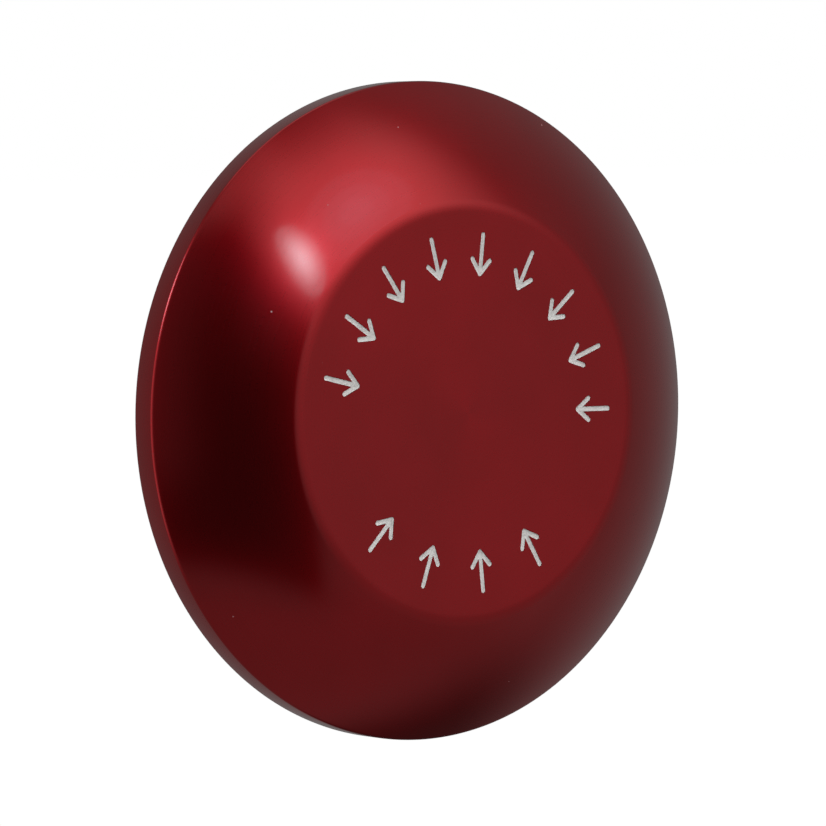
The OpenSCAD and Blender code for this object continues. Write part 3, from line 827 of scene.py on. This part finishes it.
def make_lock_washer():
    """The lock washer: a thin ring with outer teeth, each twisted so that its edges bite."""
    low, high = drawn_box("lock_washer")
    radii = [r for r, z in drawn_points("lock_washer")]
    inner, outer = min(radii), max(radii)
    root, middle = outer - TOOTH_DEPTH, (low.z + high.z) / 2
    mesh = bmesh.new()
    section = rounded([(inner, middle - WASHER_HALF, 0.1), (root, middle - WASHER_HALF, 0.1),
                       (root, middle + WASHER_HALF, 0.1), (inner, middle + WASHER_HALF, 0.1)])
    loft(mesh, [ring(p.x, p.y) for p in section], closed=True)
    bmesh.ops.recalc_face_normals(mesh, faces=mesh.faces[:])
    twist = (high.z - low.z) / 2 - WASHER_HALF
    half = outer * math.sin(math.pi / WASHER_TEETH) - TOOTH_GAP / 2

    def tooth_ring(turn, share):
        out = Vector((math.cos(turn), math.sin(turn), 0))
        along = Vector((-math.sin(turn), math.cos(turn), 0))
        reach = math.sqrt((root + share * TOOTH_DEPTH) ** 2 - (half * 0.9) ** 2)
        tilt = twist * max(share, 0)
        thick = WASHER_HALF * (TOOTH_TIP_THIN if share == 1.0 else 1)
        return [out * reach + along * side * half
                + Vector((0, 0, middle + side * tilt + up * thick))
                for side, up in ((-1, -1), (1, -1), (1, 1), (-1, 1))]

    turns = [math.tau * (i + 0.5) / WASHER_TEETH for i in range(WASHER_TEETH)]
    teeth = [closed_drawing([tooth_ring(turn, share) for share in TOOTH_STATIONS])
             for turn in turns]
    as_piece(combine(mesh, "UNION", teeth), "toothed_washer", "lock_washer")


def make_nut():
    """The mounting nut: eight flats, chamfered corners and a thread that meets the bushing's."""
    low, high = drawn_box("mounting_nut")
    flat = high.x
    corner = flat / math.cos(math.pi / NUT_SIDES)
    chamfer = (corner - flat) * math.tan(math.radians(NUT_CHAMFER))
    inset = flat - NUT_FACE_INSET
    sides = closed_drawing([
        [Vector((corner * math.cos(math.tau * (i + 0.5) / NUT_SIDES),
                 corner * math.sin(math.tau * (i + 0.5) / NUT_SIDES), z))
         for i in range(NUT_SIDES)] for z in (low.z, high.z)])
    turned_blank = closed_drawing([
        ring(r, z) for r, z in ((inset, low.z), (corner + 0.1, low.z + chamfer + 0.25),
                                (corner + 0.1, high.z - chamfer - 0.25), (inset, high.z))])
    blank = combine(sides, "INTERSECT", [turned_blank])
    bushing = drawn_points("bushing_body")
    crest = max(r for r, z in bushing if z < low.z)
    outside = thread(crest, low.z - 5, high.z + 5)
    minor = crest - THREAD_DEPTH * BORE_FLATTENED

    def inside(z, around):
        return max(outside(z, around) + THREAD_GAP, minor)

    heights = thread_heights(low.z - 0.05, high.z + 0.05)
    bore = closed_drawing([ring(inside, z) for z in heights])
    mouth = [closed_drawing([ring(minor - 0.1, end - lean * 0.6), ring(crest + 0.15, end),
                             ring(crest + 0.15, end + lean)])
             for end, lean in ((low.z, -1), (high.z, 1))]
    as_piece(combine(blank, "DIFFERENCE", [bore, *mouth]), "nut_threaded", "mounting_nut")


make_head()
make_legend()
make_return_spring()
make_contact_spring("nc_spring", "nc_coil", NC_TURNS)
make_contact_spring("no_spring", "no_coil", NO_TURNS)
make_detent_spring()
make_bushing()
make_lock_washer()
make_nut()


# ---- The CAD nodes that stay ----

EDGE_ROUND = 0.12
FINE_EDGE_ROUND = 0.06
FINE_NODES = ("carrier_clip", "head_lock_washer", "shaft_seal", "spring_seat_washer",
              "plunger_shaft")


def soften(node, size):
    """Rounds a CAD node's edges, as a modifier, and shades it smoothly between them."""
    weld = node.modifiers.new("weld", "WELD")
    weld.merge_threshold = 0.001 * MM
    flatten = node.modifiers.new("flatten", "DECIMATE")
    flatten.decimate_type = "DISSOLVE"
    flatten.angle_limit = math.radians(1)
    edges = node.modifiers.new("edges", "BEVEL")
    edges.width = size * MM
    edges.segments = 2
    edges.limit_method = "ANGLE"
    edges.angle_limit = math.radians(35)
    node.modifiers.new("normals", "WEIGHTED_NORMAL")


for name, node in frame["nodes"].items():
    node.data.materials.clear()
    node.data.materials.append(MATERIALS[SLOT_OF[name]])
    if not node.hide_render:
        soften(node, FINE_EDGE_ROUND if name in FINE_NODES else EDGE_ROUND)


# ---- Stage, light and camera ----

CAMERA_AZIMUTH = -36.77
CAMERA_ELEVATION = 3.08
CAMERA_ROLL = -1.07
CAMERA_DISTANCE = 500
CAMERA_SHIFT = (0.54, -0.28)
CAMERA_LENS = 225.2
LIGHT_DISTANCE = 0.9
GLOW_DISTANCE = 4
GLOW_STEP = 0.03


def make_floor():
    """A wide pale floor under the head. Only the camera sees it, and only from above."""
    size, drop = 6.0, 0.0005
    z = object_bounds()[0].z - drop
    mesh = bmesh.new()
    corners = [(-size, -size), (size, -size), (size, size), (-size, size)]
    mesh.faces.new([mesh.verts.new((x, y, z)) for x, y in corners])
    data = bpy.data.meshes.new("floor")
    mesh.to_mesh(data)
    mesh.free()
    floor = add_object("floor", data)
    material = bpy.data.materials.new("pale_floor")
    material.use_nodes = True
    nodes = Nodes(material.node_tree)
    pale = nodes.noise(nodes.node("TexCoord").outputs["Object"], 2.0)
    strength = nodes.remap(pale, 0, 1, 1, 1.02)
    glow = nodes.node("Emission", {"Color": (1, 1, 1, 1), "Strength": strength})
    below = nodes.node("NewGeometry").outputs["Backfacing"]
    clear = nodes.node("BsdfTransparent")
    shown = nodes.node("MixShader", {0: below, 1: glow.outputs[0], 2: clear.outputs[0]})
    nodes.tree.links.new(shown.outputs[0], nodes.tree.nodes["Material Output"].inputs["Surface"])
    data.materials.append(material)
    floor.visible_diffuse = floor.visible_glossy = False
    floor.visible_transmission = floor.visible_shadow = False


def make_surroundings():
    """The studio as the button mirrors it, drawn as soft-edged areas of azimuth and elevation:
    a broad light above, dark cards at the left and low at the right, faint walls, and lights
    high up and to the left behind. The camera itself sees plain white."""
    world = bpy.data.worlds.new("studio")
    bpy.context.scene.world = world
    world.use_nodes = True
    n = Nodes(world.node_tree)
    n.tree.nodes.clear()
    aim_at = n.node("SeparateXYZ", {"Vector": n.node("TexCoord").outputs["Generated"]}).outputs
    degrees = 180 / math.pi
    ahead = n.math("MULTIPLY", aim_at["Y"], -1.0)
    azimuth = n.math("MULTIPLY", n.math("ARCTAN2", aim_at["X"], ahead), degrees)
    elevation = n.math("MULTIPLY", n.math("ARCSINE", aim_at["Z"]), degrees)

    def window(value, low, high, soft):
        rise = n.remap(value, low - soft / 2, low + soft / 2, 0, 1, smooth=True)
        fall = n.remap(value, high - soft / 2, high + soft / 2, 1, 0, smooth=True)
        return n.math("MULTIPLY", rise, fall)

    def area(az, el, az_soft, el_soft, strength):
        both = n.math("MULTIPLY", window(azimuth, *az, az_soft), window(elevation, *el, el_soft))
        return n.math("MULTIPLY", both, strength)

    def add(*lights):
        total = lights[0]
        for light in lights[1:]:
            total = n.math("ADD", total, light)
        return total

    slant = n.remap(n.math("ADD", azimuth, elevation), 12, 28, 1, 0, smooth=True)
    card = n.math("MULTIPLY", area((-58, 5), (-37, 45), 7, 10, 0.86), slant)
    corner = area((62, 140), (-95, -38), 40, 26, 0.75)
    front = add(0.18,
                area((-14, 44), (14, 58), 26, 26, 0.76),
                area((-45, -8), (50, 80), 22, 12, 0.20),
                area((-60, 100), (30, 96), 60, 40, 0.08),
                area((8, 66), (-34, 24), 12, 14, 0.06),
                area((6, 42), (-6, 40), 26, 22, 0.17),
                area((-60, 60), (-95, -37), 60, 10, 0.02))
    shaded = n.math("MULTIPLY", front, n.math("SUBTRACT", 1.0, add(card, corner)))
    rear = add(area((-122, -74), (-34, 46), 10, 20, 0.45),
               area((-72, -38), (-16, 50), 20, 16, 0.06),
               area((104, 190), (64, 86), 20, 12, 0.6),
               area((-190, -70), (64, 86), 20, 12, 0.6))
    glow = add(shaded, rear)
    seen = n.node("Background", {"Color": (1, 1, 1, 1), "Strength": 1.0})
    unseen = n.node("Background", {"Color": (1, 0.985, 0.98, 1), "Strength": glow})
    is_camera = n.node("LightPath").outputs["Is Camera Ray"]
    both = n.node("MixShader", {0: is_camera, 1: unseen.outputs[0], 2: seen.outputs[0]})
    n.tree.links.new(both.outputs[0], n.node("OutputWorld").inputs["Surface"])


def hang(lamp, azimuth, elevation, distance, lean=0):
    """Hangs a lamp so that it faces the button, leaning from upright towards greater azimuth."""
    a, e = math.radians(azimuth), math.radians(elevation)
    back = Vector((math.sin(a) * math.cos(e), -math.cos(a) * math.cos(e), math.sin(e)))
    right = Vector((math.cos(a), math.sin(a), 0))
    up = right.cross(back) * -1
    tall = up * math.cos(math.radians(lean)) + right * math.sin(math.radians(lean))
    turn = Matrix((tall.cross(back), tall, back)).transposed()
    lamp.matrix_world = Matrix.Translation(back * distance) @ turn.to_4x4()


def add_lamp(name, shape, size, radiance):
    """An area light as bright as the given radiance. Its size is (width, height) in metres."""
    light = bpy.data.lights.new(name, "AREA")
    light.shape = shape
    light.size, light.size_y = size
    fill = math.pi / 4 if shape == "ELLIPSE" else 1
    light.energy = radiance * math.pi * size[0] * size[1] * fill
    lamp = add_object(name, light)
    lamp.visible_camera = False
    return lamp


def make_soft_light(name, azimuth, elevation, size, radiance, mirrored_by=None):
    """A soft light that nothing mirrors, or else one that only the pieces in mirrored_by do."""
    lamp = add_lamp(name, "RECTANGLE", size, radiance)
    hang(lamp, azimuth, elevation, LIGHT_DISTANCE)
    lamp.visible_glossy = mirrored_by is not None
    lamp.visible_diffuse = mirrored_by is None
    if mirrored_by:
        lamp.light_linking.receiver_collection = mirrored_by


def make_glow(name, aim_at, lean, halves, radiance, colour, levels, head):
    """A light that only the head mirrors, as nested ovals that make its brightness fall off like
    a bell curve. halves are the angles from its middle, across and up, where 1/e is left."""
    for level in range(levels):
        spread = math.sqrt(-math.log(1 - (level + 0.5) / levels))
        distance = GLOW_DISTANCE + level * GLOW_STEP
        size = [2 * distance * math.tan(math.radians(half * spread)) for half in halves]
        lamp = add_lamp(name, "ELLIPSE", size, radiance / levels)
        lamp.data.color = colour
        hang(lamp, *aim_at, distance, lean)
        lamp.light_linking.receiver_collection = head


def split_off_head():
    """Two collections: the head, and every other piece."""
    head, rest = (bpy.data.collections.new(name) for name in ("head_only", "all_but_head"))
    for made in bpy.data.objects:
        if made.name in ("head_shell", "mushroom_head"):
            head.objects.link(made)
        elif made.type == "MESH" and made.name != "floor":
            rest.objects.link(made)
    return head, rest


def make_camera():
    """The camera, a long lens to the left of the button and a little above it."""
    a, e = math.radians(CAMERA_AZIMUTH), math.radians(CAMERA_ELEVATION)
    back = Vector((math.sin(a) * math.cos(e), -math.cos(a) * math.cos(e), math.sin(e)))
    right = Vector((math.cos(a), math.sin(a), 0))
    up = back.cross(right)
    roll = math.radians(CAMERA_ROLL)
    side = right * math.cos(roll) + up * math.sin(roll)
    top = up * math.cos(roll) - right * math.sin(roll)
    rim = Vector((0, -drawn_box("mushroom_head")[0].z * MM, 0))
    place = rim + (side * CAMERA_SHIFT[0] + top * CAMERA_SHIFT[1] + back * CAMERA_DISTANCE) * MM
    data = bpy.data.cameras.new("camera")
    data.sensor_width = 36
    data.lens = CAMERA_LENS
    data.clip_start = 0.01
    camera = add_object("camera", data)
    axes = Matrix((side, top, back)).transposed()
    camera.matrix_world = Matrix.Translation(place) @ axes.to_4x4()
    bpy.context.scene.camera = camera


make_floor()
make_surroundings()
only_head, all_but_head = split_off_head()
make_glow("bright_spot", (-1.1, 28.8), -33, (2.8, 8.0), 14.5, (0.29, 0.95, 1.0), 5, only_head)
make_glow("cool_patch", (16, 35), 0, (10, 9), 1.15, (0.03, 0.8, 1.0), 3, only_head)
make_glow("edge_light", (-95, 33), 0, (12, 9), 7.5, (0.42, 0.9, 1.0), 3, only_head)
make_soft_light("front_light", -20, 25, (0.7, 0.7), 5.2)
make_soft_light("side_light", 80, 20, (0.7, 0.7), 3.9)
make_soft_light("rear_light", 160, 35, (0.7, 0.7), 5.8)
make_soft_light("rear_side_light", -120, 25, (0.7, 0.7), 3.9)
make_soft_light("rear_low_panel", 180, -16, (1.8, 0.3), 0.95, all_but_head)
make_soft_light("rear_high_panel", 180, 42, (1.6, 0.5), 0.72, all_but_head)
make_soft_light("right_panel", 95, 12, (0.4, 1.0), 0.8, all_but_head)
make_camera()
bpy.context.scene.view_settings.view_transform = "Standard"
